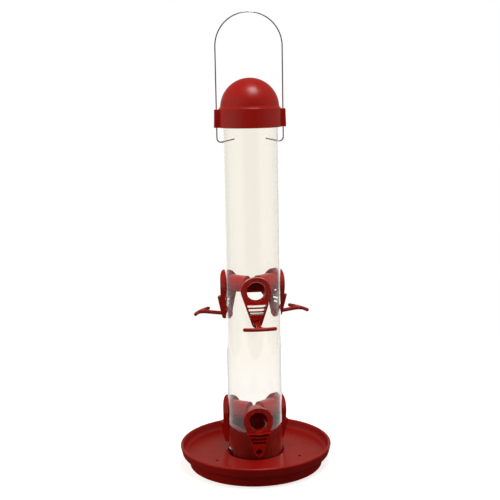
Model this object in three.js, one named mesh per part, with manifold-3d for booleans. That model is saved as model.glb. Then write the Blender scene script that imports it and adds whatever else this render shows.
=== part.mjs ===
// Hanging tube bird feeder: clear seed tube, domed cap that rides on a wire bail, two rings of
// three hooded ports, three perches, and a twist-lock base that carries a round seed tray.
// Millimetres, +Z up. The origin is the centre of the tray's foot, on the surface it stands on.
// The front port faces -Y, and the bail lies in the XZ plane.
import * as THREE from "three";
import { mergeVertices } from "three/addons/utils/BufferGeometryUtils.js";
import Module from "manifold-3d";

const wasm = await Module();
wasm.setup();

// ---- Driving dimensions -------------------------------------------------------------------

const GAP = 0.3; // what neighbouring pieces keep clear of each other
const PAST = 5; // how far a cutter runs past the face that it opens

// Clear tube
const TUBE_R = 31.75;
const TUBE_WALL = 1.8;
const TUBE_TOP = 411.4;
const TUBE_BORE = TUBE_R - TUBE_WALL;

// Seed tray
const TRAY_FLOOR = 14;
const TRAY_RIM_R = 88.3;
const TRAY_RIM_Z = 24.5;
const TRAY_BAND_Z = 14.4;
const TRAY_SKIN = 2;
const FOOT_R = 78;
const WELL_R = TUBE_R + 1.5;
const WELL_Z = 9.9;
const DRAIN_R = 2;
const DRAIN_RING = 55.5;
const RIBS = 6;
const RIB_WIDTH = 1.6;
const RIB_Z = 6;
const TUBE_BOTTOM = WELL_Z + GAP;

// Ports, measured from the centre of the port's mouth
const PORT_COUNT = 3;
const PORT_UPPER_Z = 211;
const PORT_LOWER_Z = 60;
const FACE_R = 37.5; // the port's outer face, from the tube's axis
const RING_R = 16.8;
const TIP_R = 6;
const TIP_DROP = 34.9; // from the mouth's centre to the tip's centre
const MOUTH_R = 10.6;
const FLARE_R = 12; // the mouth opens out to this at the port's face
const FLARE_DEPTH = 3;
const LEDGE_DROP = 12.8;
const LEDGE_R = 41.2;
const SOCKET_R = 3.6;
const SLOT_COUNT = 3;
const SLOT_DROP = 15.1; // from the mouth's centre to the first slot's centre
const SLOT_PITCH = 4.3;
const SLOT_HEIGHT = 2.7;
const SLOT_EDGE = 2.1;
const PORT_SKIN = 1.8;

// Hood behind each mouth
const HOOD_R = 12.1;
const HOOD_END_R = 11.4;
const HOOD_SKIN = 1.6;
const HOOD_END = 7.4; // the hood's inner end, from the tube's axis
const HOOD_CUT = 5.5; // how far below the mouth's centre the hood is cut away

// Perches
const PERCH_BAR = 68.2; // from the tube's axis to the bar's centre line
const PERCH_SPAN = 37.6;
const PERCH_THICK = 4;
const PERCH_STEM = 2.6; // half the stem's width
const PERCH_BOW = 75; // radius of the bar's bow
const PEG_R = 3.3;
const PEG_HOLE_R = 3.9;
const PEG_SHOULDER = TUBE_R + 3.5; // the peg's outer end, recessed in the port's socket
const PEG_TIP = TUBE_BORE - 1.6;

// Base plug inside the tube's foot
const PLUG_R = TUBE_BORE - 0.35;
const PLUG_SKIN = 2;
const CROWN_HIGH = 51.5;
const CROWN_LOW = 45.5;
const DECK_Z = 24;
const DECK_PEAK = 31;
const SLEEVE_R = 15.6;
const SLEEVE_BORE = 13.2;
const SLEEVE_FOOT = 1;
const SEAT_Z = 25;
const LOCK_PEG_R = 1.5;
const LOCK_PEG_Z = 17.5;
const LOCK_PEG_END = TUBE_R + 0.9;
const LOCK_TURN = 20; // degrees from locked to free
const LOCK_CLEARANCE = 0.4;

// Screws that hold the tray to the plug
const SCREW_COUNT = 3;
const SCREW_RING = 21.6;
const SCREW_R = 1.5;
const SCREW_HEAD_R = 2.9;
const SCREW_HEAD = 1.8;
const SCREW_REACH = 8;
const BOSS_R = 3.5;

// Domed cap
const DOME_R = 33.05;
const DOME_SKIN = 1.85;
const CAP_BOTTOM = 392.4;
const CAP_SHELF = 414;
const BAND_R = 35;
const BAND_BORE = 32.4;
const BAND_EDGE = 0.9;
const LUG_HEIGHT = 20.2;
const LUG_WIDTH = 8.4;
const LUG_TOP_R = 39.8;
const LUG_FOOT_R = 40.4;
const LUG_ROOT_R = 33.4;
const LUG_EDGE = 0.7;
const WIRE_HOLE_R = 1.7;

// Wire bail
const WIRE_R = 0.85;
const BAIL_HALF = 37.4;
const ARCH_Z = 481;
const HOOK_TIP = 17.6;
const HOOK_TIP_Z = 379.6;
const HOOK_SLOPE = THREE.MathUtils.degToRad(12.5);
const HOOK_BEND = 4.5;

// Fineness of the round surfaces
const ROUND = 64;
const SMALL_ROUND = 32;
const PIN_ROUND = 20;
const WIRE_ROUND = 5;

// ---- Materials ----------------------------------------------------------------------------

const redPlastic = new THREE.MeshStandardMaterial({ color: 0x9e1410, roughness: 0.32, metalness: 0 });
const clearPlastic = new THREE.MeshStandardMaterial({
  color: 0xf2eee6,
  roughness: 0.08,
  metalness: 0,
  transparent: true,
  opacity: 0.25,
});
const wireSteel = new THREE.MeshStandardMaterial({ color: 0x8f8b84, roughness: 0.3, metalness: 1 });
const screwSteel = new THREE.MeshStandardMaterial({ color: 0xb9b7b2, roughness: 0.35, metalness: 1 });

// ---- Shape tools --------------------------------------------------------------------------

// A closed geometry as a solid that can be joined and cut.
function solid(geometry) {
  const bare = geometry.index ? geometry.toNonIndexed() : geometry.clone();
  bare.deleteAttribute("normal");
  bare.deleteAttribute("uv");
  const merged = mergeVertices(bare, 1e-4);
  return new wasm.Manifold(
    new wasm.Mesh({
      numProp: 3,
      vertProperties: merged.attributes.position.array,
      triVerts: new Uint32Array(merged.index.array),
    }),
  );
}

// A named mesh of a solid.
function meshOf(name, shape, material) {
  const data = shape.getMesh();
  const geometry = new THREE.BufferGeometry();
  geometry.setAttribute("position", new THREE.BufferAttribute(data.vertProperties, 3));
  geometry.setIndex(new THREE.BufferAttribute(data.triVerts, 1));
  geometry.computeVertexNormals();
  const mesh = new THREE.Mesh(geometry, material);
  mesh.name = name;
  return mesh;
}

// A body of revolution about Z from [radius, height] points.
function turned(points, segments = ROUND) {
  const profile = points.map(([r, z]) => new THREE.Vector2(r, z));
  return solid(new THREE.LatheGeometry(profile, segments).rotateX(Math.PI / 2));
}

// Points of an arc in the profile plane, angles in degrees, both ends included.
function arc(centreR, centreZ, radius, from, to, steps) {
  const points = [];
  for (let i = 0; i <= steps; i++) {
    const angle = THREE.MathUtils.degToRad(from + ((to - from) * i) / steps);
    points.push([centreR + radius * Math.cos(angle), centreZ + radius * Math.sin(angle)]);
  }
  return points;
}

// A round bar or cone along -Y, from one distance out of the axis to another, at height z.
function frontRound(nearR, farR, near, far, z, segments = SMALL_ROUND) {
  const bar = new THREE.CylinderGeometry(nearR, farR, far - near, segments);
  return solid(bar.translate(0, -(near + far) / 2, z));
}

// An upright round bar.
function upright(radius, bottom, top, x = 0, y = 0, segments = PIN_ROUND) {
  const bar = new THREE.CylinderGeometry(radius, radius, top - bottom, segments);
  return solid(bar.rotateX(Math.PI / 2).translate(x, y, (bottom + top) / 2));
}

// A box from its two corners.
function block([x0, y0, z0], [x1, y1, z1]) {
  const box = new THREE.BoxGeometry(x1 - x0, y1 - y0, z1 - z0);
  return solid(box.translate((x0 + x1) / 2, (y0 + y1) / 2, (z0 + z1) / 2));
}

// The angles, in degrees about Z, of evenly spaced copies.
function around(count, first = 0) {
  return Array.from({ length: count }, (_, i) => first + (360 * i) / count);
}

// One solid joined from copies of a solid turned to each angle.
function copies(shape, angles) {
  return wasm.Manifold.union(angles.map((angle) => shape.rotate([0, 0, angle])));
}

const portAngles = around(PORT_COUNT);
const sides = [0, 180];

// ---- Clear tube ---------------------------------------------------------------------------

// The height of the bail's hook where it crosses the tube wall.
const hookHoleZ = HOOK_TIP_Z - (TUBE_R - TUBE_WALL / 2 - HOOK_TIP) * Math.tan(HOOK_SLOPE);

// The slot that a lock peg slides along, and its way out through the tube's bottom edge.
function lockSlot() {
  const half = LOCK_PEG_R + LOCK_CLEARANCE;
  const inner = TUBE_BORE - PAST;
  const outer = TUBE_R + PAST;
  const across = block([inner, -half, LOCK_PEG_Z - half], [outer, half, LOCK_PEG_Z + half]);
  const down = block([inner, -half, TUBE_BOTTOM - PAST], [outer, half, LOCK_PEG_Z + half]);
  const steps = 4;
  const angles = Array.from({ length: steps + 1 }, (_, i) => (LOCK_TURN * i) / steps);
  return copies(across, angles).add(down.rotate([0, 0, LOCK_TURN]));
}

function makeTube() {
  let tube = turned([
    [TUBE_BORE, TUBE_BOTTOM],
    [TUBE_R, TUBE_BOTTOM],
    [TUBE_R, TUBE_TOP],
    [TUBE_BORE, TUBE_TOP],
    [TUBE_BORE, TUBE_BOTTOM],
  ]);
  for (const z of [PORT_UPPER_Z, PORT_LOWER_Z]) {
    const hoodHole = frontRound(HOOD_R + 0.5, HOOD_R + 0.5, HOOD_END, FACE_R, z);
    const pegHole = frontRound(PEG_HOLE_R, PEG_HOLE_R, HOOD_END, FACE_R, z - TIP_DROP, PIN_ROUND);
    tube = tube.subtract(copies(hoodHole.add(pegHole), portAngles));
  }
  const wireHole = frontRound(WIRE_HOLE_R, WIRE_HOLE_R, HOOK_TIP, FACE_R, hookHoleZ, PIN_ROUND);
  tube = tube.subtract(copies(wireHole.rotate([0, 0, 90]), sides));
  return tube.subtract(copies(lockSlot(), sides));
}

// ---- Ports --------------------------------------------------------------------------------

// Where the straight sides of the keyhole outline meet its ring and its tip.
const sideAngle = -Math.asin((RING_R - TIP_R) / TIP_DROP);

// Half the outline's width at a distance below the mouth's centre, along the straight sides.
function halfWidth(drop) {
  return (RING_R + drop * Math.sin(sideAngle)) / Math.cos(sideAngle);
}

// The keyhole outline, smaller by an inset all round, with the mouth's centre at [0, 0].
function keyhole(inset) {
  const shape = new THREE.Shape();
  shape.absarc(0, 0, RING_R - inset, sideAngle, Math.PI - sideAngle, false);
  shape.absarc(0, -TIP_DROP, TIP_R - inset, Math.PI - sideAngle, 2 * Math.PI + sideAngle, false);
  shape.closePath();
  return shape;
}

// The keyhole outline as a bar along -Y, from the tube's axis outwards.
function keyholeBar(inset, z, curveSegments = 14) {
  const bar = new THREE.ExtrudeGeometry(keyhole(inset), {
    depth: LEDGE_R + PAST,
    bevelEnabled: false,
    curveSegments,
  });
  return solid(bar.rotateX(Math.PI / 2).translate(0, 0, z));
}

// The round body that bounds the port's front: a plain face, then the ledge that tapers to the tip.
function faceEnvelope(z, inset) {
  const taper = (LEDGE_R - FACE_R) / (TIP_DROP + TIP_R - LEDGE_DROP);
  const foot = z - TIP_DROP - TIP_R - 1;
  return turned([
    [0, foot],
    [FACE_R - taper - inset, foot],
    [LEDGE_R - inset, z - LEDGE_DROP - inset],
    [FACE_R - inset, z - LEDGE_DROP - inset],
    [FACE_R - inset, z + RING_R + 1],
    [0, z + RING_R + 1],
  ]);
}

function makePort(z) {
  const tubeClear = upright(TUBE_R + GAP, z - 60, z + 60, 0, 0, ROUND);
  let port = keyholeBar(0, z).intersect(faceEnvelope(z, 0)).subtract(tubeClear);

  // The hollow behind the slotted ledge, and the slots.
  const lastSlot = SLOT_DROP + (SLOT_COUNT - 1) * SLOT_PITCH;
  const pocketTop = z - SLOT_DROP + SLOT_HEIGHT / 2;
  const pocketFoot = z - lastSlot - SLOT_HEIGHT / 2;
  const pocketZone = block([-RING_R, -LEDGE_R, pocketFoot], [RING_R, -TUBE_BORE / 2, pocketTop]);
  port = port.subtract(keyholeBar(SLOT_EDGE, z).intersect(faceEnvelope(z, PORT_SKIN)).intersect(pocketZone));
  for (let i = 0; i < SLOT_COUNT; i++) {
    const drop = SLOT_DROP + i * SLOT_PITCH;
    const half = halfWidth(drop) - SLOT_EDGE;
    const centre = z - drop;
    port = port.subtract(
      block([-half, -LEDGE_R - PAST, centre - SLOT_HEIGHT / 2], [half, -TUBE_R / 2, centre + SLOT_HEIGHT / 2]),
    );
  }

  // The hood that runs in through the tube wall, open below.
  const hood = frontRound(HOOD_END_R, HOOD_R, HOOD_END, TUBE_R + 1.5, z);
  const below = block(
    [-HOOD_R - 1, -TUBE_BORE + 1, z - HOOD_R - 1],
    [HOOD_R + 1, 0, z - HOOD_CUT],
  );
  port = port.add(hood.subtract(below));
  const bore = frontRound(HOOD_END_R - HOOD_SKIN, MOUTH_R, HOOD_END + HOOD_SKIN, FACE_R + PAST, z);
  const flareSlope = (FLARE_R - MOUTH_R) / FLARE_DEPTH;
  const flare = frontRound(
    MOUTH_R,
    FLARE_R + PAST * flareSlope,
    FACE_R - FLARE_DEPTH,
    FACE_R + PAST,
    z,
  );
  const socket = frontRound(SOCKET_R, SOCKET_R, TUBE_BORE, FACE_R + PAST, z - TIP_DROP, PIN_ROUND);
  return port.subtract(bore).subtract(flare).subtract(socket);
}

// ---- Perches ------------------------------------------------------------------------------

// The perch's outline seen from above: a stem that widens into a slightly bowed bar.
function perchOutline() {
  const root = -(TUBE_R + 1);
  const flareStart = -(PERCH_BAR - 9);
  const bowCentre = PERCH_BOW - PERCH_BAR;
  const half = PERCH_THICK / 2;
  const swing = Math.asin((PERCH_SPAN / 2 - half) / PERCH_BOW);
  const flareSwing = Math.asin(7 / PERCH_BOW);
  const down = -Math.PI / 2;
  const innerAt = (angle) => [
    (PERCH_BOW - half) * Math.cos(angle),
    bowCentre + (PERCH_BOW - half) * Math.sin(angle),
  ];
  const endAt = (angle) => [PERCH_BOW * Math.cos(angle), bowCentre + PERCH_BOW * Math.sin(angle)];
  const [flareX, flareY] = innerAt(down + flareSwing);
  const [rightX, rightY] = endAt(down + swing);
  const [leftX, leftY] = endAt(down - swing);

  const shape = new THREE.Shape();
  shape.moveTo(-PERCH_STEM, root);
  shape.lineTo(-PERCH_STEM, flareStart);
  shape.quadraticCurveTo(-PERCH_STEM, flareY + 1, -flareX, flareY);
  shape.absarc(0, bowCentre, PERCH_BOW - half, down - flareSwing, down - swing, true);
  shape.absarc(leftX, leftY, half, down - swing + Math.PI, down - swing + 2 * Math.PI, false);
  shape.absarc(0, bowCentre, PERCH_BOW + half, down - swing, down + swing, false);
  shape.absarc(rightX, rightY, half, down + swing, down + swing + Math.PI, false);
  shape.absarc(0, bowCentre, PERCH_BOW - half, down + swing, down + flareSwing, true);
  shape.quadraticCurveTo(PERCH_STEM, flareY + 1, PERCH_STEM, flareStart);
  shape.lineTo(PERCH_STEM, root);
  shape.closePath();
  return shape;
}

function makePerch(portZ) {
  const z = portZ - TIP_DROP;
  const edge = 1;
  const body = new THREE.ExtrudeGeometry(perchOutline(), {
    depth: PERCH_THICK - 2 * edge,
    bevelThickness: edge,
    bevelSize: edge,
    bevelOffset: -edge,
    bevelSegments: 2,
    curveSegments: 4,
  });
  const plate = solid(body.translate(0, 0, z - PERCH_THICK / 2 + edge));
  return plate.add(frontRound(PEG_R, PEG_R, PEG_TIP, PEG_SHOULDER, z, PIN_ROUND));
}

// ---- Base plug and tray -------------------------------------------------------------------

function makePlug() {
  const foot = WELL_Z + GAP;
  const deckUnder = DECK_Z - PLUG_SKIN;
  let plug = turned([
    [0, SEAT_Z],
    [SLEEVE_BORE, SEAT_Z],
    [SLEEVE_BORE, SLEEVE_FOOT],
    [SLEEVE_R, SLEEVE_FOOT],
    [SLEEVE_R, deckUnder],
    [PLUG_R - PLUG_SKIN, deckUnder],
    [PLUG_R - PLUG_SKIN, foot],
    [PLUG_R, foot],
    [PLUG_R, CROWN_HIGH],
    [PLUG_R - PLUG_SKIN, CROWN_HIGH],
    [PLUG_R - PLUG_SKIN, DECK_Z],
    [0, DECK_PEAK],
  ]);

  // Bosses for the tray's screws.
  const pilot = upright(SCREW_R + GAP, foot - PAST, foot + SCREW_REACH + 1, SCREW_RING, 0);
  const boss = upright(BOSS_R, foot, deckUnder + PLUG_SKIN / 2, SCREW_RING, 0);
  plug = plug.add(copies(boss, screwAngles)).subtract(copies(pilot, screwAngles));

  // The crown dips in front of each port.
  const reach = PLUG_R * Math.sin(Math.PI / PORT_COUNT);
  const dip = CROWN_HIGH - CROWN_LOW;
  const scoopR = (reach * reach + dip * dip) / (2 * dip);
  const scoop = frontRound(scoopR, scoopR, 1, PLUG_R + PAST, CROWN_LOW + scoopR, 2 * ROUND);
  plug = plug.subtract(copies(scoop, portAngles));

  const peg = frontRound(LOCK_PEG_R, LOCK_PEG_R, PLUG_R - PLUG_SKIN / 2, LOCK_PEG_END, LOCK_PEG_Z, PIN_ROUND);
  return plug.add(copies(peg.rotate([0, 0, 90]), sides));
}

const screwAngles = around(SCREW_COUNT, 30);

function makeTray() {
  const under = TRAY_FLOOR - TRAY_SKIN;
  const wellUnder = WELL_Z - TRAY_SKIN;
  const footTop = FOOT_R + 0.4;
  const wallFoot = TRAY_RIM_R - 5;
  const wallTop = TRAY_RIM_R - 3.4;
  const bead = 1.7;
  const beadR = TRAY_RIM_R - bead;
  const beadZ = TRAY_RIM_Z - bead;
  let tray = turned([
    [SLEEVE_R + GAP, wellUnder],
    [WELL_R + TRAY_SKIN, wellUnder],
    [WELL_R + TRAY_SKIN, under],
    [FOOT_R - TRAY_SKIN, under],
    [FOOT_R - TRAY_SKIN - 0.4, 0],
    [FOOT_R - 0.4, 0],
    [footTop, under - 0.6],
    [TRAY_RIM_R - 6, under - 0.2],
    [TRAY_RIM_R - 3.2, under + 0.9],
    [TRAY_RIM_R - 2.1, TRAY_BAND_Z],
    ...arc(beadR, beadZ, bead, 0, 180, 8),
    [wallTop - 0.6, TRAY_FLOOR + 3.4],
    ...arc(wallFoot - 2.6, TRAY_FLOOR + 2.6, 2.6, -15, -90, 4),
    [WELL_R, TRAY_FLOOR],
    [WELL_R, WELL_Z],
    [SLEEVE_R + GAP, WELL_Z],
    [SLEEVE_R + GAP, wellUnder],
  ]);

  const rib = block([WELL_R + 1, -RIB_WIDTH / 2, RIB_Z], [FOOT_R - 1.4, RIB_WIDTH / 2, under + 0.5]);
  tray = tray.add(copies(rib, around(RIBS)));
  const drain = upright(DRAIN_R, RIB_Z, TRAY_FLOOR + 1, 0, DRAIN_RING, 16);
  const screwHole = upright(SCREW_R + GAP, 0, WELL_Z + 1, SCREW_RING, 0);
  return tray.subtract(copies(drain, portAngles)).subtract(copies(screwHole, screwAngles));
}

// A pan-head screw up through the tray into the plug, with a cross slot in its head.
function makeScrew() {
  const headTop = WELL_Z - TRAY_SKIN - GAP;
  const shank = upright(SCREW_R, headTop - 0.2, WELL_Z + GAP + SCREW_REACH, SCREW_RING, 0);
  const head = turned(
    [
      [0, headTop - SCREW_HEAD],
      [SCREW_HEAD_R * 0.6, headTop - SCREW_HEAD],
      [SCREW_HEAD_R * 0.9, headTop - SCREW_HEAD * 0.75],
      [SCREW_HEAD_R, headTop - SCREW_HEAD * 0.35],
      [SCREW_HEAD_R, headTop],
      [0, headTop],
    ],
    PIN_ROUND,
  ).translate([SCREW_RING, 0, 0]);
  const arm = SCREW_HEAD_R * 0.55;
  const slot = 0.35;
  const slotTop = headTop - SCREW_HEAD + 0.8;
  const cut = block([SCREW_RING - arm, -slot, 0], [SCREW_RING + arm, slot, slotTop]).add(
    block([SCREW_RING - slot, -arm, 0], [SCREW_RING + slot, arm, slotTop]),
  );
  return shank.add(head).subtract(cut);
}

// ---- Cap ----------------------------------------------------------------------------------

// A lug on the +X side that guides one leg of the bail.
function capLug() {
  const shape = new THREE.Shape();
  shape.moveTo(LUG_ROOT_R, CAP_BOTTOM);
  shape.lineTo(LUG_FOOT_R, CAP_BOTTOM);
  shape.lineTo(LUG_TOP_R, CAP_BOTTOM + LUG_HEIGHT);
  shape.lineTo(LUG_ROOT_R, CAP_BOTTOM + LUG_HEIGHT);
  shape.closePath();
  const bar = new THREE.ExtrudeGeometry(shape, {
    depth: LUG_WIDTH - 2 * LUG_EDGE,
    bevelThickness: LUG_EDGE,
    bevelSize: LUG_EDGE,
    bevelOffset: -LUG_EDGE,
    bevelSegments: 2,
  });
  return solid(bar.rotateX(Math.PI / 2).translate(0, LUG_WIDTH / 2 - LUG_EDGE, 0));
}

function makeCap() {
  const inner = DOME_R - DOME_SKIN;
  const stop = TUBE_TOP + GAP;
  const shell = turned([
    ...arc(0, CAP_SHELF, inner, 90, 0, 10),
    [inner, stop],
    [BAND_BORE, stop],
    [BAND_BORE, CAP_BOTTOM],
    [BAND_R, CAP_BOTTOM],
    ...arc(BAND_R - 0.2 - BAND_EDGE, CAP_SHELF - BAND_EDGE, BAND_EDGE, 0, 90, 3),
    ...arc(0, CAP_SHELF, DOME_R, 0, 90, 12),
  ]);
  const tubeRoom = upright(BAND_BORE, CAP_BOTTOM - PAST, stop, 0, 0, ROUND);
  const lug = capLug().subtract(tubeRoom);
  const wireHole = upright(WIRE_HOLE_R, CAP_BOTTOM - PAST, CAP_BOTTOM + LUG_HEIGHT + PAST, BAIL_HALF, 0);
  return shell.add(copies(lug, sides)).subtract(copies(wireHole, sides));
}

// ---- Bail ---------------------------------------------------------------------------------

// A path through given points, with one step from each point to the next.
class PointPath extends THREE.Curve {
  constructor(points) {
    super();
    this.points = points;
  }

  getPoint(t, target = new THREE.Vector3()) {
    const place = t * (this.points.length - 1);
    const i = Math.min(Math.floor(place), this.points.length - 2);
    return target.lerpVectors(this.points[i], this.points[i + 1], place - i);
  }

  getUtoTmapping(u) {
    return u;
  }
}

// The bail's centre line: hook, bend, leg, arch, and the same again down the other side.
function bailPath() {
  const bendX = BAIL_HALF - HOOK_BEND;
  const run = (bendX - HOOK_TIP) * Math.sin(HOOK_SLOPE);
  const bendZ = HOOK_TIP_Z + (HOOK_BEND - run) / Math.cos(HOOK_SLOPE);
  const slope = THREE.MathUtils.radToDeg(HOOK_SLOPE);
  const halfPath = [
    [HOOK_TIP, HOOK_TIP_Z],
    ...arc(bendX, bendZ, HOOK_BEND, -90 - slope, 0, 7),
    ...arc(0, ARCH_Z, BAIL_HALF, 0, 90, 14),
  ];
  const mirrored = halfPath
    .slice(0, -1)
    .reverse()
    .map(([x, z]) => [-x, z]);
  const points = [...halfPath, ...mirrored].map(([x, z]) => new THREE.Vector3(x, 0, z));
  return new PointPath(points);
}

function makeBail() {
  const path = bailPath();
  const section = new THREE.Shape();
  section.absarc(0, 0, WIRE_R, 0, 2 * Math.PI, false);
  return solid(
    new THREE.ExtrudeGeometry(section, {
      steps: path.points.length - 1,
      extrudePath: path,
      curveSegments: WIRE_ROUND,
    }),
  );
}

// ---- The assembly -------------------------------------------------------------------------

const feeder = new THREE.Group();
feeder.add(meshOf("cap", makeCap(), redPlastic));
feeder.add(meshOf("bail", makeBail(), wireSteel));
feeder.add(meshOf("tube", makeTube(), clearPlastic));

for (const [level, z] of [["upper", PORT_UPPER_Z], ["lower", PORT_LOWER_Z]]) {
  portAngles.forEach((angle, i) => {
    const turnedPort = makePort(z).rotate([0, 0, angle]);
    feeder.add(meshOf(`port_${level}_${i + 1}`, turnedPort, redPlastic));
  });
}
portAngles.forEach((angle, i) => {
  const turnedPerch = makePerch(PORT_UPPER_Z).rotate([0, 0, angle]);
  feeder.add(meshOf(`perch_${i + 1}`, turnedPerch, redPlastic));
});

feeder.add(meshOf("base_plug", makePlug(), redPlastic));
feeder.add(meshOf("tray", makeTray(), redPlastic));
screwAngles.forEach((angle, i) => {
  feeder.add(meshOf(`tray_screw_${i + 1}`, makeScrew().rotate([0, 0, angle]), screwSteel));
});

export default feeder;
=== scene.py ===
"""Looks for the tube bird feeder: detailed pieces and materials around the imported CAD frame."""

import math

import bmesh
import bpy
from mathutils import Matrix, Vector


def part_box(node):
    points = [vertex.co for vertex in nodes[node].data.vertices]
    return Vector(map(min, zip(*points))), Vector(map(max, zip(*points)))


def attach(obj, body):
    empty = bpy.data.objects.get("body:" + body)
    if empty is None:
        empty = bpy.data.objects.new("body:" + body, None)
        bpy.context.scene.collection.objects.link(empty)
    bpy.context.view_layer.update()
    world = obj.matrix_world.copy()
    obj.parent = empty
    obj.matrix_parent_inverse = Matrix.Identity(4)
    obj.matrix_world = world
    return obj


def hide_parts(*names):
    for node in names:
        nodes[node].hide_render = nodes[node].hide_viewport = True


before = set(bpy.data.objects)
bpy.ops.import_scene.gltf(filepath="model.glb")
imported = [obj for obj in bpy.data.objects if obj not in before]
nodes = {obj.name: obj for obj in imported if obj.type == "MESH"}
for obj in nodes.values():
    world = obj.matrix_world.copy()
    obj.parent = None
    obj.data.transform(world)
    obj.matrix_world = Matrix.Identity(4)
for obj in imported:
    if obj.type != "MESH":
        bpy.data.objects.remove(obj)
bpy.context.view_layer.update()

MM = 0.001

# The studio, in linear light: what the clear tube mirrors, what the satin plastic mirrors, what
# lights everything, and what is seen through the tube. Front, sides, top and back differ, and the
# left is brighter than the right. All of it stays in place when the view changes.
TABLE = 0.50  # half the table's width
TABLE_BOUNCE = (0.07, 0.065, 0.065)
ROOM_HALF = 34  # half the dim room's width, in degrees
MIRROR_FRONT = (0.08, 0.06, 0.04)
MIRROR_SIDE_LOW = (0.32, 0.33, 0.34)
MIRROR_SIDE_HIGH = (0.60, 0.61, 0.63)
MIRROR_BACK = (1.4, 1.4, 1.35)
MIRROR_TABLE = (0.80, 0.80, 0.82)
SATIN_FRONT = (0.05, 0.045, 0.04)
SATIN_SIDE = (0.24, 0.20, 0.16)
SATIN_TOP = (0.20, 0.16, 0.13)
SATIN_BACK = (0.55, 0.47, 0.42)
FILL_LEFT = (1.65, 1.50, 1.32)
FILL_RIGHT = (1.15, 1.06, 0.95)
FILL_TOP = (0.20, 0.19, 0.17)
FILL_INSIDE = 1.8  # how much more of it comes in through the tube
THROUGH = (1.17, 1.155, 1.14)
THROUGH_TABLE = (1.24, 1.25, 1.29)

# ---- What the frame says -----------------------------------------------------------------

tube_low, tube_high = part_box("tube")
cap_low, cap_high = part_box("cap")
bail_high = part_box("bail")[1]
tray_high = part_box("tray")[1]
plug_low, plug_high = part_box("base_plug")

PORTS = [name for name in nodes if name.startswith("port_")]
PERCHES = [name for name in nodes if name.startswith("perch_")]
SCREWS = [name for name in nodes if name.startswith("tray_screw_")]

# Shapes that the boxes don't give
TUBE_R = tube_high.x
TUBE_WALL = 1.8 * MM
TUBE_BORE = TUBE_R - TUBE_WALL
RING_R = 16.8 * MM
TIP_R = 6 * MM
TIP_DROP = 34.9 * MM
FACE_R = 37.5 * MM
LEDGE_R = 41.2 * MM
LEDGE_DROP = 12.8 * MM
MOUTH_R = 10.6 * MM
FLARE_R = 12 * MM
FLARE_DEPTH = 3 * MM
SLOT_COUNT = 3
SLOT_DROP = 15.1 * MM
SLOT_PITCH = 4.3 * MM
SLOT_HEIGHT = 2.7 * MM
SLOT_EDGE = 2.1 * MM
SOCKET_R = 3.6 * MM
HOOD_R = 12.1 * MM
HOOD_END_R = 11.4 * MM
HOOD_END = 7.4 * MM
HOOD_CUT = 5.5 * MM
PERCH_BAR = 68.2 * MM
PERCH_SPAN = 37.6 * MM
PERCH_THICK = 4 * MM
PERCH_STEM = 2.6 * MM
PERCH_BOW = 75 * MM
HOOK_TIP = 17.6 * MM
HOOK_SLOPE = math.radians(12.5)
HOOK_BEND = 4.5 * MM
WIRE_HOLE_R = 1.7 * MM
HOOD_HOLE_R = 12.6 * MM
PEG_R = 3.3 * MM
PEG_HOLE_R = 3.9 * MM
LOCK_PEG_R = 1.5 * MM
LOCK_SLOT = 1.9 * MM  # half the slot's width
LOCK_TURN = 20
SCREW_HOLE_R = 1.8 * MM
SCREW_RING = 21.6 * MM
SCREW_TURNS = (30, 150, 270)

upper_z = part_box("port_upper_1")[1].z - RING_R
lower_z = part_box("port_lower_1")[1].z - RING_R
leg_x = bail_high.x - 0.85 * MM
bail_tip_z = 379.6 * MM
hook_hole_z = bail_tip_z - (TUBE_R - 0.9 * MM - HOOK_TIP) * math.tan(HOOK_SLOPE)
lock_z = 17.5 * MM

# ---- Material tools ----------------------------------------------------------------------


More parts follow.
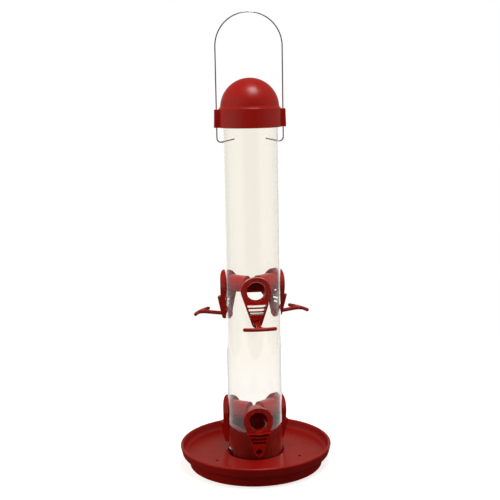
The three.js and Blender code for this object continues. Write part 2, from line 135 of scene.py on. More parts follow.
class Graph:
    """A node tree, with short ways to add and join nodes."""

    def __init__(self, name=None, tree=None):
        if name:
            self.material = bpy.data.materials.new(name)
            self.material.use_nodes = True
            tree = self.material.node_tree
            self.shader = tree.nodes["Principled BSDF"]
            self.output = tree.nodes["Material Output"]
        self.tree = tree
        if name:
            self.place = self.add("ShaderNodeTexCoord").outputs["Object"]

    def add(self, kind, **settings):
        node = self.tree.nodes.new(kind)
        for key, value in settings.items():
            setattr(node, key, value)
        return node

    def join(self, source, target):
        self.tree.links.new(source, target)

    def set(self, **values):
        """Sets the shader's own sockets, which are named with _ for a space."""
        for key, value in values.items():
            self.shader.inputs[key.replace("_", " ")].default_value = value

    def stretched(self, x, y, z):
        """The object's coordinates, scaled."""
        node = self.add("ShaderNodeMapping")
        node.inputs["Scale"].default_value = (x, y, z)
        self.join(self.place, node.inputs["Vector"])
        return node.outputs["Vector"]

    def noise(self, scale, detail=3.0, roughness=0.5, vector=None):
        node = self.add("ShaderNodeTexNoise")
        node.inputs["Scale"].default_value = scale
        node.inputs["Detail"].default_value = detail
        node.inputs["Roughness"].default_value = roughness
        self.join(vector or self.place, node.inputs["Vector"])
        return node.outputs["Fac"]

    def math(self, operation, *values):
        """A sum of sockets and numbers."""
        node = self.add("ShaderNodeMath", operation=operation)
        for socket, value in zip(node.inputs, values):
            if isinstance(value, bpy.types.NodeSocket):
                self.join(value, socket)
            else:
                socket.default_value = value
        return node.outputs["Value"]

    def ramp(self, value, low, high, from_low=0.3, from_high=0.7):
        """Maps a value to a range of numbers."""
        node = self.add("ShaderNodeMapRange")
        node.inputs["From Min"].default_value = from_low
        node.inputs["From Max"].default_value = from_high
        node.inputs["To Min"].default_value = low
        node.inputs["To Max"].default_value = high
        self.join(value, node.inputs["Value"])
        return node.outputs["Result"]

    def blend(self, factor, first, second):
        """A colour between two, each a colour or a socket."""
        node = self.add("ShaderNodeMix", data_type="RGBA")
        self.join(factor, node.inputs[0])
        for socket, value in ((node.inputs[6], first), (node.inputs[7], second)):
            if isinstance(value, bpy.types.NodeSocket):
                self.join(value, socket)
            else:
                socket.default_value = (*value, 1.0)
        return node.outputs[2]

    def weighted(self, *terms):
        """A sum of colours, each times a weight."""
        total = None
        for weight, colour in terms:
            scale = self.add("ShaderNodeVectorMath", operation="SCALE")
            scale.inputs[0].default_value = colour
            if isinstance(weight, bpy.types.NodeSocket):
                self.join(weight, scale.inputs["Scale"])
            else:
                scale.inputs["Scale"].default_value = weight
            if total is None:
                total = scale.outputs[0]
                continue
            add = self.add("ShaderNodeVectorMath", operation="ADD")
            self.join(total, add.inputs[0])
            self.join(scale.outputs[0], add.inputs[1])
            total = add.outputs[0]
        return total

    def bump(self, height, distance, strength=1.0, under=None):
        node = self.add("ShaderNodeBump")
        node.inputs["Distance"].default_value = distance
        node.inputs["Strength"].default_value = strength
        self.join(height, node.inputs["Height"])
        if under is not None:
            self.join(under, node.inputs["Normal"])
        return node.outputs["Normal"]


def red_plastic(name="red_plastic", depth=1.0):
    """Moulded red plastic: satin gloss, with flow marks, a faint orange peel and a painted
    highlight that lightens its convex edges.
    """
    g = Graph(name)
    flow = g.noise(28, detail=4, vector=g.stretched(1, 1, 0.35))
    speck = g.noise(900, detail=2)
    # A depth below 1 darkens every red: it makes a shaded copy of this plastic, which is painted
    # shade.
    tone = g.blend(g.ramp(flow, 0, 1), (0.37 * depth, 0.0055, 0.003), (0.44 * depth, 0.008, 0.004))
    tone = g.blend(g.ramp(speck, 0, 0.25, 0.55, 0.75), tone, (0.30 * depth, 0.005, 0.003))
    # Painted highlight: sharp convex edges, found by pointiness, get a lighter red, as if they
    # caught the light.
    edge = g.add("ShaderNodeNewGeometry").outputs["Pointiness"]
    tone = g.blend(g.ramp(edge, 0, 0.35, 0.53, 0.62), tone, (0.60, 0.04, 0.03))
    g.join(tone, g.shader.inputs["Base Color"])
    haze = g.noise(55, detail=5, roughness=0.6)
    g.join(g.ramp(haze, 0.27, 0.38), g.shader.inputs["Roughness"])
    peel = g.bump(g.noise(700, detail=1), 0.05 * MM, 0.12)
    waves = g.bump(g.noise(60, detail=2), 0.35 * MM, 0.18, under=peel)
    g.join(waves, g.shader.inputs["Normal"])
    g.set(IOR=1.5, Specular_IOR_Level=0.38)
    return g.material


def clear_plastic():
    """The clear tube: polished, a little warm, with faint draw lines along its length."""
    g = Graph("clear_plastic")
    g.set(Base_Color=(0.93, 0.91, 0.865, 1), Roughness=0.02, IOR=1.49, Transmission_Weight=1.0)
    draw = g.noise(1, detail=2, vector=g.stretched(420, 420, 5))
    g.join(g.bump(draw, 0.03 * MM, 0.10), g.shader.inputs["Normal"])
    haze = g.noise(30, detail=5, roughness=0.65)
    g.join(g.ramp(haze, 0.0, 0.04, 0.66, 0.9), g.shader.inputs["Roughness"])
    # Lamps shine through the tube as if it were air, so what is inside it is lit.
    clear = g.add("ShaderNodeBsdfTransparent")
    clear.inputs["Color"].default_value = (0.98, 0.97, 0.95, 1)
    mix = g.add("ShaderNodeMixShader")
    g.join(g.add("ShaderNodeLightPath").outputs["Is Shadow Ray"], mix.inputs["Fac"])
    g.join(g.shader.outputs["BSDF"], mix.inputs[1])
    g.join(clear.outputs["BSDF"], mix.inputs[2])
    g.join(mix.outputs["Shader"], g.output.inputs["Surface"])
    return g.material


def bail_wire():
    """Bright drawn steel wire with fine lines and a few dull patches."""
    g = Graph("bail_wire")
    dull = g.noise(90, detail=4)
    tone = g.blend(g.ramp(dull, 0, 1), (0.62, 0.59, 0.55), (0.45, 0.43, 0.40))
    g.join(tone, g.shader.inputs["Base Color"])
    g.join(g.ramp(dull, 0.30, 0.45), g.shader.inputs["Roughness"])
    lines = g.noise(1, detail=3, vector=g.stretched(4000, 4000, 120))
    g.join(g.bump(lines, 0.03 * MM, 0.3), g.shader.inputs["Normal"])
    g.set(Metallic=1.0)
    return g.material


def screw_steel():
    """Zinc-plated steel."""
    g = Graph("screw_steel")
    cloud = g.noise(400, detail=4)
    tone = g.blend(g.ramp(cloud, 0, 1), (0.62, 0.61, 0.58), (0.48, 0.48, 0.47))
    g.join(tone, g.shader.inputs["Base Color"])
    g.join(g.ramp(cloud, 0.28, 0.42), g.shader.inputs["Roughness"])
    g.join(g.bump(g.noise(1500), 0.02 * MM, 0.3), g.shader.inputs["Normal"])
    g.set(Metallic=1.0)
    return g.material


MATERIALS = {
    "red_plastic": red_plastic(),
    # A darker copy of the red plastic for the plug in the tube's foot: painted shade.
    "red_plastic_painted_shade": red_plastic("red_plastic_painted_shade", 0.55),
    "clear_plastic": clear_plastic(),
    "bail_wire": bail_wire(),
    "screw_steel": screw_steel(),
}

# ---- Mesh tools --------------------------------------------------------------------------


def new_piece(name, mesh, slot, body, *stood_for, sharp=32):
    """An object of a mesh, with smooth shading that keeps flats flat and corners sharp."""
    piece = bpy.data.objects.new(name, mesh)
    bpy.context.scene.collection.objects.link(piece)
    dress(piece, slot, sharp)
    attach(piece, body)
    if stood_for:
        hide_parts(*stood_for)
    return piece


def dress(piece, slot, sharp=32):
    piece.data.shade_smooth()
    piece.data.set_sharp_from_angle(angle=math.radians(sharp))
    even = piece.modifiers.new("even_normals", "WEIGHTED_NORMAL")
    even.keep_sharp = True
    piece.data.materials.clear()
    piece.data.materials.append(MATERIALS[slot])


def mesh_of(bm, name):
    bmesh.ops.recalc_face_normals(bm, faces=bm.faces)
    mesh = bpy.data.meshes.new(name)
    bm.to_mesh(mesh)
    bm.free()
    return mesh


def lathe(profile, segments=192):
    """A mesh turned about Z from a closed profile of (radius, height)."""
    bm = bmesh.new()
    rings = []
    for radius, height in profile:
        if radius < 1e-7:
            rings.append([bm.verts.new((0, 0, height))])
            continue
        ring = []
        for i in range(segments):
            angle = 2 * math.pi * i / segments
            ring.append(bm.verts.new((radius * math.cos(angle), radius * math.sin(angle), height)))
        rings.append(ring)
    for one, two in zip(rings, rings[1:] + rings[:1]):
        for i in range(segments):
            j = (i + 1) % segments
            corners = [one[i % len(one)], two[i % len(two)], two[j % len(two)], one[j % len(one)]]
            unique = list(dict.fromkeys(corners))
            if len(unique) > 2:
                bm.faces.new(unique)
    return mesh_of(bm, "turned")


def arc(centre_x, centre_y, radius, start, end, steps):
    """Points of an arc, angles in degrees."""
    points = []
    for i in range(steps + 1):
        angle = math.radians(start + (end - start) * i / steps)
        points.append((centre_x + radius * math.cos(angle), centre_y + radius * math.sin(angle)))
    return points


def rounded(points, radii, steps=4):
    """A closed outline with a fillet of its own radius at each corner (0 leaves it sharp)."""
    result = []
    count = len(points)
    for i, corner in enumerate(points):
        corner = Vector(corner)
        radius = radii[i]
        if radius <= 0:
            result.append(tuple(corner))
            continue
        before = (Vector(points[i - 1]) - corner).normalized()
        after = (Vector(points[(i + 1) % count]) - corner).normalized()
        half = math.acos(max(-1, min(1, before.dot(after)))) / 2
        reach = radius / math.tan(half)
        centre = corner + (before + after).normalized() * radius / math.sin(half)
        first = corner + before * reach - centre
        last = corner + after * reach - centre
        sweep = math.atan2(first.x * last.y - first.y * last.x, first.dot(last))
        for k in range(steps + 1):
            turn = Matrix.Rotation(sweep * k / steps, 2)
            result.append(tuple(centre + turn @ first))
    return result


def prism(outline, start, end, axis="Y"):
    """An outline run along an axis. Across Y it is (x, z); across Z it is (x, y)."""
    bm = bmesh.new()
    faces = []
    for place in (start, end):
        if axis == "Y":
            ring = [bm.verts.new((u, place, v)) for u, v in outline]
        else:
            ring = [bm.verts.new((u, v, place)) for u, v in outline]
        bm.faces.new(ring)
        faces.append(ring)
    for i in range(len(outline)):
        j = (i + 1) % len(outline)
        bm.faces.new([faces[0][i], faces[0][j], faces[1][j], faces[1][i]])
    return mesh_of(bm, "prism")


def round_bar(bm, segments, first_r, last_r, length, place):
    bmesh.ops.create_cone(
        bm,
        cap_ends=True,
        segments=segments,
        radius1=first_r,
        radius2=last_r,
        depth=length,
        matrix=place,
    )


def front_bar(near_r, far_r, near, far, z=0.0, segments=64):
    """A round bar or cone that runs out along -Y from the axis."""
    bm = bmesh.new()
    place = Matrix.Translation((0, -(near + far) / 2, z)) @ Matrix.Rotation(math.pi / 2, 4, "X")
    round_bar(bm, segments, near_r, far_r, far - near, place)
    return mesh_of(bm, "bar")


def upright(radius, bottom, top, x=0.0, y=0.0, segments=48):
    """A round bar that stands on end."""
    bm = bmesh.new()
    place = Matrix.Translation((x, y, (bottom + top) / 2))
    round_bar(bm, segments, radius, radius, top - bottom, place)
    return mesh_of(bm, "bar")


def brick(low, high):
    """A box between two corners."""
    bm = bmesh.new()
    size = Vector(high) - Vector(low)
    place = Matrix.Translation((Vector(low) + Vector(high)) / 2) @ Matrix.Diagonal((*size, 1))
    bmesh.ops.create_cube(bm, size=1, matrix=place)
    return mesh_of(bm, "brick")


def moved(mesh, degrees=0.0, z=0.0):
    """A copy of a mesh, turned about the tube's axis and lifted."""
    copy = mesh.copy()
    copy.transform(Matrix.Translation((0, 0, z)) @ Matrix.Rotation(math.radians(degrees), 4, "Z"))
    return copy


def combine(mesh, *steps, edge=0.0):
    """A mesh joined with, cut by or met with others in turn, then with its edges rounded."""
    scene = bpy.context.scene.collection
    body = bpy.data.objects.new("body", mesh)
    scene.objects.link(body)
    tools = []
    for operation, other in steps:
        tool = bpy.data.objects.new("tool", other)
        scene.objects.link(tool)
        tools.append(tool)
        cut = body.modifiers.new("cut", "BOOLEAN")
        cut.operation = operation
        cut.solver = "EXACT"
        cut.object = tool
    if edge:
        tidy = body.modifiers.new("tidy", "WELD")
        tidy.merge_threshold = 0.01 * MM
        soft = body.modifiers.new("soft", "BEVEL")
        soft.width = edge
        soft.segments = 2
        soft.limit_method = "ANGLE"
        soft.angle_limit = math.radians(38)
        soft.use_clamp_overlap = True
    graph = bpy.context.evaluated_depsgraph_get()
    result = bpy.data.meshes.new_from_object(body.evaluated_get(graph))
    for tool in tools:
        bpy.data.objects.remove(tool)
    bpy.data.objects.remove(body)
    return result


# ---- Pieces ------------------------------------------------------------------------------

GAP = 0.3 * MM
PORT_TURNS = {"1": 0, "2": 120, "3": 240}
SIDES = (90, 270)
PORT_REACH = 46 * MM  # past a port's front, from the tube's axis


def make_cap():
    """The domed cap: shell, shoulder, and two lugs that ride on the bail."""
    dome_r = 33.05 * MM
    skin = 1.85 * MM
    band_r = cap_high.y - 0.02 * MM
    bore = band_r - 2.58 * MM
    shelf = cap_high.z - dome_r
    bottom = cap_low.z
    stop = tube_high.z + GAP
    edge = 0.9 * MM
    rest = [
        (dome_r, shelf),
        (band_r - 0.1 * MM, shelf),
        (band_r, bottom),
        (bore, bottom),
        (bore, stop),
        (dome_r - skin, stop),
    ]
    profile = arc(0, shelf, dome_r, 90, 3, 44)
    profile += rounded(rest, [0, edge, 0.4 * MM, 0.3 * MM, 0, 0])[1:]
    profile += arc(0, shelf, dome_r - skin, 0, 90, 24)
    reach = cap_high.x - 0.02 * MM
    lug_top = bottom + 20.2 * MM
    lug = prism(
        [
            (band_r - 1.6 * MM, bottom),
            (reach, bottom),
            (reach - 0.6 * MM, lug_top),
            (band_r - 1.6 * MM, lug_top),
        ],
        -4.2 * MM,
        4.2 * MM,
    )
    hole = upright(WIRE_HOLE_R, bottom - 5 * MM, lug_top + 5 * MM, x=leg_x)
    lug = combine(lug, ("DIFFERENCE", hole), edge=0.6 * MM)
    shell = combine(lathe(profile), ("UNION", lug), ("UNION", moved(lug, 180)))
    new_piece("cap_shell", shell, "red_plastic", "cap", "cap")


def wall_hole(radius):
    """A cutter for a round hole through the tube's front wall."""
    return front_bar(radius, radius, 20 * MM, 40 * MM)


def make_tube():
    """The clear tube, cut for the ports, the bail's hooks and the base's lock pegs."""
    lip = 0.25 * MM
    step = 3 * lip
    profile = [
        (TUBE_BORE + lip, tube_low.z),
        (TUBE_R - lip, tube_low.z),
        (TUBE_R, tube_low.z + lip),
        (TUBE_R, tube_low.z + step),
        (TUBE_R, tube_high.z - step),
        (TUBE_R, tube_high.z - lip),
        (TUBE_R - lip, tube_high.z),
        (TUBE_BORE + lip, tube_high.z),
        (TUBE_BORE, tube_high.z - lip),
        (TUBE_BORE, tube_high.z - step),
        (TUBE_BORE, tube_low.z + step),
        (TUBE_BORE, tube_low.z + lip),
    ]
    cutters = []
    for z in (upper_z, lower_z):
        for turn in PORT_TURNS.values():
            cutters.append(moved(wall_hole(HOOD_HOLE_R), turn, z))
            cutters.append(moved(wall_hole(PEG_HOLE_R), turn, z - TIP_DROP))
    outer, inner, top = -36 * MM, -26 * MM, lock_z + LOCK_SLOT
    for side in SIDES:
        cutters.append(moved(wall_hole(WIRE_HOLE_R), side, hook_hole_z))
        for i in range(5):
            bar = brick((-LOCK_SLOT, outer, lock_z - LOCK_SLOT), (LOCK_SLOT, inner, top))
            cutters.append(moved(bar, side + LOCK_TURN * i / 4))
        bar = brick((-LOCK_SLOT, outer, 0), (LOCK_SLOT, inner, top))
        cutters.append(moved(bar, side + LOCK_TURN))
    tube = combine(lathe(profile), *[("DIFFERENCE", cutter) for cutter in cutters])
    new_piece("tube_wall", tube, "clear_plastic", "feeder", "tube")


def keyhole(inset):
    """A port's outline round the mouth's centre, smaller by an inset."""
    side = math.degrees(-math.asin((RING_R - TIP_R) / TIP_DROP))
    ring = arc(0, 0, RING_R - inset, side, 180 - side, 72)
    return ring + arc(0, -TIP_DROP, TIP_R - inset, 180 - side, 360 + side, 28)


def port_envelope(inset):
    """The round body that a port's front lies on: a plain face, then the ledge that tapers down."""
    taper = (LEDGE_R - FACE_R) / (TIP_DROP + TIP_R - LEDGE_DROP)
    foot = -TIP_DROP - TIP_R - 1 * MM
    profile = [
        (0, foot),
        (FACE_R - taper * MM - inset, foot),
        (LEDGE_R - inset, -LEDGE_DROP - inset),
        (FACE_R - inset, -LEDGE_DROP - inset),
        (FACE_R - inset, RING_R + 1 * MM),
        (0, RING_R + 1 * MM),
    ]
    return lathe(profile, 256)


def port_mesh():
    """A port, with its mouth's centre on -Y at height 0."""
    clear = upright(TUBE_R + GAP, -60 * MM, 60 * MM, segments=256)
    last = SLOT_DROP + (SLOT_COUNT - 1) * SLOT_PITCH
    slot_half = SLOT_HEIGHT / 2
    zone = brick((-RING_R, -LEDGE_R, -last - slot_half), (RING_R, -15 * MM, -SLOT_DROP + slot_half))
    pocket = combine(
        prism(keyhole(SLOT_EDGE), 0, -PORT_REACH),
        ("INTERSECT", port_envelope(1.8 * MM)),
        ("INTERSECT", zone),
    )
    slots = []
    side = math.asin((RING_R - TIP_R) / TIP_DROP)
    for i in range(SLOT_COUNT):
        drop = SLOT_DROP + i * SLOT_PITCH
        half = (RING_R - drop * math.sin(side)) / math.cos(side) - SLOT_EDGE
        low, high = -drop - slot_half, -drop + slot_half
        slots.append(brick((-half, -PORT_REACH, low), (half, -16 * MM, high)))
    hood = combine(
        front_bar(HOOD_END_R, HOOD_R, HOOD_END, TUBE_R + 1.5 * MM, segments=96),
        ("DIFFERENCE", brick((-14 * MM, -TUBE_BORE + 1 * MM, -14 * MM), (14 * MM, 0, -HOOD_CUT))),
    )
    bore_near = HOOD_END_R - 1.6 * MM
    bore = front_bar(bore_near, MOUTH_R, HOOD_END + 1.6 * MM, FACE_R + 5 * MM, segments=96)
    flare_slope = (FLARE_R - MOUTH_R) / FLARE_DEPTH
    flare = front_bar(
        MOUTH_R, FLARE_R + 5 * MM * flare_slope, FACE_R - FLARE_DEPTH, FACE_R + 5 * MM, segments=96
    )
    body = combine(
        prism(keyhole(0), 0, -PORT_REACH),
        ("INTERSECT", port_envelope(0)),
        ("DIFFERENCE", clear),
        edge=1.5 * MM,
    )
    return combine(
        body,
        ("DIFFERENCE", pocket),
        *[("DIFFERENCE", slot) for slot in slots],
        ("UNION", hood),
        ("DIFFERENCE", bore),
        ("DIFFERENCE", flare),
        ("DIFFERENCE", front_bar(SOCKET_R, SOCKET_R, TUBE_BORE, PORT_REACH, -TIP_DROP)),
        edge=0.45 * MM,
    )


def make_ports():
    mesh = port_mesh()
    for name in PORTS:
        z = upper_z if "upper" in name else lower_z
        port = moved(mesh, PORT_TURNS[name[-1]], z)
        piece = new_piece(name + "_moulding", port, "red_plastic", "feeder", name)
        piece.data.name = name


def perch_outline():
    """A perch seen from above, its stem along -Y and its bar slightly bowed."""
    half = PERCH_THICK / 2
    centre = PERCH_BOW - PERCH_BAR
    swing = math.degrees(math.asin((PERCH_SPAN / 2 - half) / PERCH_BOW))
    flare = math.degrees(math.asin(7 * MM / PERCH_BOW))
    left = arc(0, centre, PERCH_BOW, -90 - swing, -90 - swing, 1)[0]
    right = arc(0, centre, PERCH_BOW, -90 + swing, -90 + swing, 1)[0]
    flare_x, flare_y = arc(0, centre, PERCH_BOW - half, -90 + flare, -90 + flare, 1)[0]
    stem = PERCH_STEM
    root = -(TUBE_R + 1 * MM)
    start = -(PERCH_BAR - 9 * MM)
    bend = []
    for i in range(9):
        t = i / 8
        x = (1 - t) ** 2 * stem + 2 * t * (1 - t) * stem + t * t * flare_x
        y = (1 - t) ** 2 * start + 2 * t * (1 - t) * (flare_y + 1 * MM) + t * t * flare_y
        bend.append((x, y))
    points = [(-stem, root)] + [(-x, y) for x, y in bend]
    points += arc(0, centre, PERCH_BOW - half, -90 - flare, -90 - swing, 10)[1:]
    points += arc(*left, half, -90 - swing + 180, -90 - swing + 360, 12)[1:]
    points += arc(0, centre, PERCH_BOW + half, -90 - swing, -90 + swing, 28)[1:]
    points += arc(*right, half, -90 + swing, -90 + swing + 180, 12)[1:]
    points += arc(0, centre, PERCH_BOW - half, -90 + swing, -90 + flare, 10)[1:]
    points += bend[::-1][1:] + [(stem, root)]
    return points


def make_perches():
    """Perches with rounded bars, each on a peg that fills its port's socket."""
    half = PERCH_THICK / 2
    bar = prism(perch_outline(), -half, half, axis="Z")
    bm = bmesh.new()
    bm.from_mesh(bar)
    edges = [e for e in bm.edges if len(e.link_faces) == 2 and e.calc_face_angle() > 1.0]
    flat = [e for e in edges if abs(e.verts[0].co.z - e.verts[1].co.z) < 1e-6]
    bmesh.ops.bevel(
        bm,
        geom=flat,
        offset=1.85 * MM,
        segments=6,
        profile=0.5,
        affect="EDGES",
        clamp_overlap=True,
    )
    bar = mesh_of(bm, "bar")
    peg = front_bar(PEG_R, PEG_R, TUBE_BORE - 1.6 * MM, TUBE_R + 3.5 * MM)
    mesh = combine(bar, ("UNION", peg))
    for name in PERCHES:
        z = (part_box(name)[0].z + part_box(name)[1].z) / 2
        perch = moved(mesh, PORT_TURNS[name[-1]], z)
        new_piece(name + "_bar", perch, "red_plastic", "feeder", name)


def make_bail():
    """The wire bail: hooks, rounded bends, straight legs and a round arch."""
    radius = 0.7 * MM
    bend_x = leg_x - HOOK_BEND
    run = (bend_x - HOOK_TIP) * math.sin(HOOK_SLOPE)
    bend_z = bail_tip_z + (HOOK_BEND - run) / math.cos(HOOK_SLOPE)
    arch_z = bail_high.z - leg_x - 0.81 * MM
    half = [(HOOK_TIP, bail_tip_z)]
    half += arc(bend_x, bend_z, HOOK_BEND, -90 - math.degrees(HOOK_SLOPE), 0, 14)
    rise = 24
    foot = half[-1][1]
    half += [(leg_x, foot + (arch_z - foot) * i / rise) for i in range(1, rise)]
    half += arc(0, arch_z, leg_x, 0, 90, 40)
    path = half + [(-x, z) for x, z in half[-2::-1]]
    sides = 20
    bm = bmesh.new()
    rings = []
    for i, (x, z) in enumerate(path):
        before = Vector(path[max(i - 1, 0)])
        after = Vector(path[min(i + 1, len(path) - 1)])
        along = (after - before).normalized()
        across = Vector((-along.y, 0, along.x))
        ring = []
        for k in range(sides):
            angle = 2 * math.pi * k / sides
            out = math.cos(angle) * across + Vector((0, math.sin(angle), 0))
            ring.append(bm.verts.new(Vector((x, 0, z)) + radius * out))
        rings.append(ring)
    for one, two in zip(rings, rings[1:]):
        for k in range(sides):
            n = (k + 1) % sides
            bm.faces.new([one[k], one[n], two[n], two[k]])
    bm.faces.new(rings[0])
    bm.faces.new(rings[-1])
    new_piece("bail_round_wire", mesh_of(bm, "bail"), "bail_wire", "feeder", "bail", sharp=50)


def make_plug():
    """The base plug inside the tube's foot, its crown scooped at the ports."""
    foot = tube_low.z
    skin = 2 * MM
    plug_r = TUBE_BORE - 0.35 * MM
    crown = plug_high.z
    deck, peak, seat = 24 * MM, 31 * MM, 25 * MM
    under = deck - skin
    sleeve_r, sleeve_bore = 15.6 * MM, 13.2 * MM
    profile = [
        (0, seat),
        (sleeve_bore, seat),
        (sleeve_bore, plug_low.z),
        (sleeve_r, plug_low.z),
        (sleeve_r, under),
        (plug_r - skin, under),
        (plug_r - skin, foot),
        (plug_r, foot),
        (plug_r, crown),
        (plug_r - skin, crown),
        (plug_r - skin, deck),
        (0, peak),
    ]
    radii = [r * MM for r in (0, 0.6, 0.5, 0.5, 1.2, 1.2, 0.4, 0.4, 0.5, 0.5, 2, 0)]
    steps = []
    for turn in SCREW_TURNS:
        boss = upright(3.5 * MM, foot, deck - 1 * MM, SCREW_RING)
        steps.append(("UNION", moved(boss, turn)))
    pilot = upright(SCREW_HOLE_R, foot - 5 * MM, foot + 9 * MM, SCREW_RING)
    for turn in SCREW_TURNS:
        steps.append(("DIFFERENCE", moved(pilot, turn)))
    dip = 6 * MM
    reach = plug_r * math.sin(math.pi / 3)
    scoop_r = (reach * reach + dip * dip) / (2 * dip)
    scoop_z = crown - dip + scoop_r
    scoop = front_bar(scoop_r, scoop_r, 1 * MM, plug_r + 5 * MM, scoop_z, segments=256)
    for turn in PORT_TURNS.values():
        steps.append(("DIFFERENCE", moved(scoop, turn)))
    for side in SIDES:
        near, far = plug_r - 1 * MM, TUBE_R + 0.9 * MM
        peg = front_bar(LOCK_PEG_R, LOCK_PEG_R, near, far, lock_z, segments=32)
        steps.append(("UNION", moved(peg, side)))
    plug = combine(lathe(rounded(profile, radii)), *steps)
    plug = new_piece("plug_moulding", plug, "red_plastic", "base", "base_plug")
    # The plug wears the darker copy of the red plastic: painted shade where it sits in the tube's
    # foot.
    plug.data.materials[0] = MATERIALS["red_plastic_painted_shade"]


def make_tray():
    """The round seed tray: rolled rim, outer band, foot ring, well, drains and ribs."""
    rim_r = tray_high.x - 0.02 * MM
    top = tray_high.z
    floor_z, skin = 14 * MM, 2 * MM
    under = floor_z - skin
    foot_r = 78 * MM
    well_r = TUBE_R + 1.5 * MM
    well_z = tube_low.z - GAP
    well_under = well_z - skin
    bead = 1.7 * MM
    band_z = 14.4 * MM
    sleeve = 15.9 * MM
    lower = [
        (sleeve, well_under),
        (well_r + skin, well_under),
        (well_r + skin, under),
        (foot_r - skin, under),
        (foot_r - skin - 0.4 * MM, 0),
        (foot_r - 0.4 * MM, 0),
        (foot_r + 0.4 * MM, under - 0.6 * MM),
        (rim_r - 6 * MM, under - 0.2 * MM),
        (rim_r - 3.2 * MM, under + 0.9 * MM),
        (rim_r - 2.1 * MM, band_z),
        (rim_r, top - bead),
    ]
    radii = [r * MM for r in (0.4, 1, 1, 1, 0.5, 0.5, 1.2, 0.5, 0.4, 0.35, 0)]
    lower = rounded(lower, radii)
    bead_arc = arc(rim_r - bead, top - bead, bead, 0, 180, 14)
    fillet = 2.6 * MM
    inner = arc(rim_r - 5 * MM - fillet, floor_z + fillet, fillet, -12, -90, 8)
    well = [(well_r, floor_z), (well_r, well_z), (sleeve, well_z), (sleeve, well_under)]
    well = rounded([inner[-1]] + well + [lower[0]], [0, 0.8 * MM, 0.5 * MM, 0.5 * MM, 0, 0])[1:-2]
    profile = lower[:-1] + bead_arc + [(rim_r - 4 * MM, floor_z + 3.4 * MM)] + inner + well
    steps = []
    rib_half = 0.8 * MM
    rib_end = (foot_r - 1.4 * MM, rib_half, under + 0.5 * MM)
    rib = brick((well_r + 1 * MM, -rib_half, 6 * MM), rib_end)
    for i in range(6):
        steps.append(("UNION", moved(rib, 60 * i)))
    drain = upright(2 * MM, 5 * MM, 20 * MM, segments=32)
    # Half a segment of turn keeps the hole's corners off the tray's own spokes.
    drain.transform(Matrix.Translation((0, 55.5 * MM, 0)) @ Matrix.Rotation(math.pi / 32, 4, "Z"))
    for turn in PORT_TURNS.values():
        steps.append(("DIFFERENCE", moved(drain, turn)))
    hole = upright(SCREW_HOLE_R, 0, 12 * MM, SCREW_RING)
    for turn in SCREW_TURNS:
        steps.append(("DIFFERENCE", moved(hole, turn)))
    tray = combine(lathe(profile, 256), *steps)
    new_piece("tray_moulding", tray, "red_plastic", "base", "tray")


make_cap()
make_tube()
make_ports()
make_perches()
make_bail()
make_plug()
make_tray()
for name in SCREWS:
    dress(nodes[name], "screw_steel")

# ---- Stage: floor, light and camera ------------------------------------------------------


def mirrored_room(g, x, y):
    """What the tube mirrors in a direction: soft screens, brightest behind, or the dim room."""
    flat = g.math("SQRT", g.math("ADD", g.math("MULTIPLY", x, x), g.math("MULTIPLY", y, y)))
    toward = g.math("MULTIPLY", g.math("DIVIDE", y, flat), -1.0)
    edge = math.cos(math.radians(ROOM_HALF))
    room = g.ramp(toward, 0, 1, edge - 0.03, edge + 0.05)
    streak = g.noise(5, detail=4, vector=g.stretched(3, 3, 0.15))
    screens = g.blend(g.ramp(streak, 0, 1), MIRROR_SIDE_LOW, MIRROR_SIDE_HIGH)
    screens = g.blend(g.ramp(toward, 1, 0, -0.97, -0.70), screens, MIRROR_BACK)
    return g.blend(room, screens, MIRROR_FRONT), toward


def make_floor():
    """A pale table that glows. The camera sees it pale and fading to white: painted light, an
    emission that is dimmer near the feeder, on top of its real shading. It throws only a little
    light back on the pieces, as a dark grey table would."""
    mesh = bpy.data.meshes.new("floor")
    corners = [(-TABLE, -TABLE, 0), (TABLE, -TABLE, 0), (TABLE, TABLE, 0), (-TABLE, TABLE, 0)]
    mesh.from_pydata(corners, [], [(0, 1, 2, 3)])
    floor = bpy.data.objects.new("floor", mesh)
    floor.location.z = -0.5 * MM
    bpy.context.scene.collection.objects.link(floor)
    g = Graph("floor")
    rays = g.add("ShaderNodeLightPath").outputs
    base = g.blend(rays["Is Transmission Ray"], TABLE_BOUNCE, (0, 0, 0))
    g.join(g.blend(rays["Is Camera Ray"], base, (0.9, 0.9, 0.9)), g.shader.inputs["Base Color"])
    g.join(g.ramp(g.noise(40), 0.6, 0.8), g.shader.inputs["Roughness"])
    g.set(Specular_IOR_Level=0.0, Emission_Strength=1.0)
    reach = g.add("ShaderNodeVectorMath", operation="LENGTH")
    g.join(g.place, reach.inputs[0])
    # Painted glow seen by the camera: an emission, dimmer within about 0.2 m of the feeder and full
    # white beyond 0.4 m.
    lift = g.blend(g.ramp(reach.outputs["Value"], 0, 1, 0.18, 0.42), (0.70, 0.70, 0.70), (1, 1, 1))
    # Painted pool of light: seen through the tube, the table glows brighter and cooler close to the
    # feeder.
    painted_glow_pool = g.blend(g.ramp(reach.outputs["Value"], 0, 1, 0.22, 0.47), THROUGH_TABLE, THROUGH)
    through = g.blend(g.math("MINIMUM", rays["Glossy Depth"], 1.0), painted_glow_pool, MIRROR_TABLE)
    shown = g.blend(rays["Is Singular Ray"], (0, 0, 0), MIRROR_TABLE)
    shown = g.blend(rays["Is Transmission Ray"], shown, through)
    shown = g.blend(g.math("MINIMUM", rays["Diffuse Depth"], 1.0), shown, (0, 0, 0))
    shown = g.blend(rays["Is Camera Ray"], shown, lift)
    g.join(shown, g.shader.inputs["Emission Color"])
    mesh.materials.append(g.material)


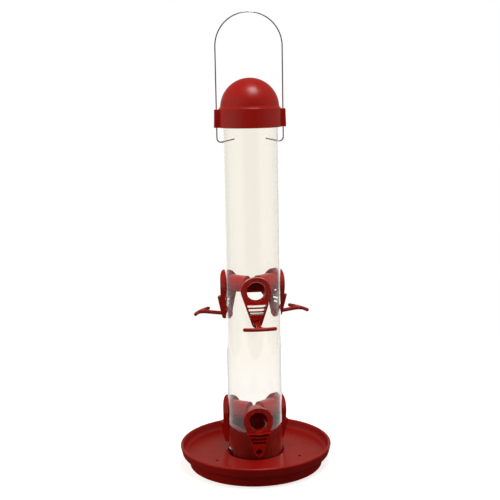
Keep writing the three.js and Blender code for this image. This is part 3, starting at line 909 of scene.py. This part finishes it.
def make_world():
    """A white studio with a dim room in front of it and bright screens behind. The camera sees
    plain white, the tube mirrors the studio, and the red plastic has a fill light of its own from
    its sides and top."""
    world = bpy.data.worlds.new("studio")
    bpy.context.scene.world = world
    world.use_nodes = True
    g = Graph(tree=world.node_tree)
    g.tree.nodes.clear()
    output = g.add("ShaderNodeOutputWorld")
    g.place = g.add("ShaderNodeTexCoord").outputs["Generated"]
    rays = g.add("ShaderNodeLightPath").outputs
    split = g.add("ShaderNodeSeparateXYZ")
    g.join(g.place, split.inputs["Vector"])
    x, y, z = [split.outputs[axis] for axis in "XYZ"]
    mirrored, toward = mirrored_room(g, x, y)
    up = g.ramp(z, 0, 1, -0.1, 0.9)
    satin = g.blend(g.ramp(toward, 1, 0, -0.2, 0.8), SATIN_FRONT, SATIN_SIDE)
    satin = g.blend(up, satin, SATIN_TOP)
    behind = g.math("MULTIPLY", g.ramp(toward, 1, 0, -1.0, -0.6), g.ramp(z, 1, 0, 0.1, 0.5))
    satin = g.blend(behind, satin, SATIN_BACK)
    right = g.math("MAXIMUM", x, 0.0)
    left = g.math("MAXIMUM", g.math("MULTIPLY", x, -1.0), 0.0)
    fill = g.weighted(
        (g.math("MULTIPLY", left, left), FILL_LEFT),
        (g.math("MULTIPLY", right, right), FILL_RIGHT),
        (g.math("MAXIMUM", z, 0.0), FILL_TOP),
    )
    inside = g.add("ShaderNodeVectorMath", operation="SCALE")
    g.join(fill, inside.inputs[0])
    inside.inputs["Scale"].default_value = FILL_INSIDE
    through = g.blend(g.math("MINIMUM", rays["Glossy Depth"], 1.0), THROUGH, mirrored)
    colour = g.blend(rays["Is Singular Ray"], satin, mirrored)
    colour = g.blend(rays["Is Transmission Ray"], colour, through)
    colour = g.blend(g.math("MINIMUM", rays["Diffuse Depth"], 1.0), colour, inside.outputs[0])
    colour = g.blend(rays["Is Diffuse Ray"], colour, fill)
    colour = g.blend(rays["Is Camera Ray"], colour, (1, 1, 1))
    glow = g.add("ShaderNodeBackground")
    g.join(colour, glow.inputs["Color"])
    g.join(glow.outputs["Background"], output.inputs["Surface"])


def make_lamp(name, place, aim, size, power):
    data = bpy.data.lights.new(name, "AREA")
    data.size = size
    data.energy = power
    lamp = bpy.data.objects.new(name, data)
    lamp.location = place
    lamp.rotation_euler = (Vector(aim) - Vector(place)).to_track_quat("-Z", "Y").to_euler()
    bpy.context.scene.collection.objects.link(lamp)


def make_camera():
    """Level with the top of the dome, a little to the left of the front port, looking down."""
    turn = math.radians(-6.0)
    pitch = math.radians(9.56)
    away = 1.124
    yaw = math.radians(0.13)
    roll = math.radians(1.05)
    data = bpy.data.cameras.new("camera")
    data.sensor_width = 36
    data.lens = 71.856
    camera = bpy.data.objects.new("camera", data)
    back = Vector((math.sin(turn), -math.cos(turn), 0))
    place = back * away + Vector((0, 0, cap_high.z - 4.8 * MM))
    look = Matrix.Rotation(turn + yaw, 4, "Z") @ Matrix.Rotation(math.pi / 2 - pitch, 4, "X")
    camera.matrix_world = Matrix.Translation(place) @ look @ Matrix.Rotation(-roll, 4, "Z")
    bpy.context.scene.collection.objects.link(camera)
    bpy.context.scene.camera = camera


make_floor()
make_world()
make_lamp("key", (0.115, -0.277, 1.225), (0, 0, 0.40), 0.34, 5.0)
make_camera()
bpy.context.scene.view_settings.view_transform = "Standard"
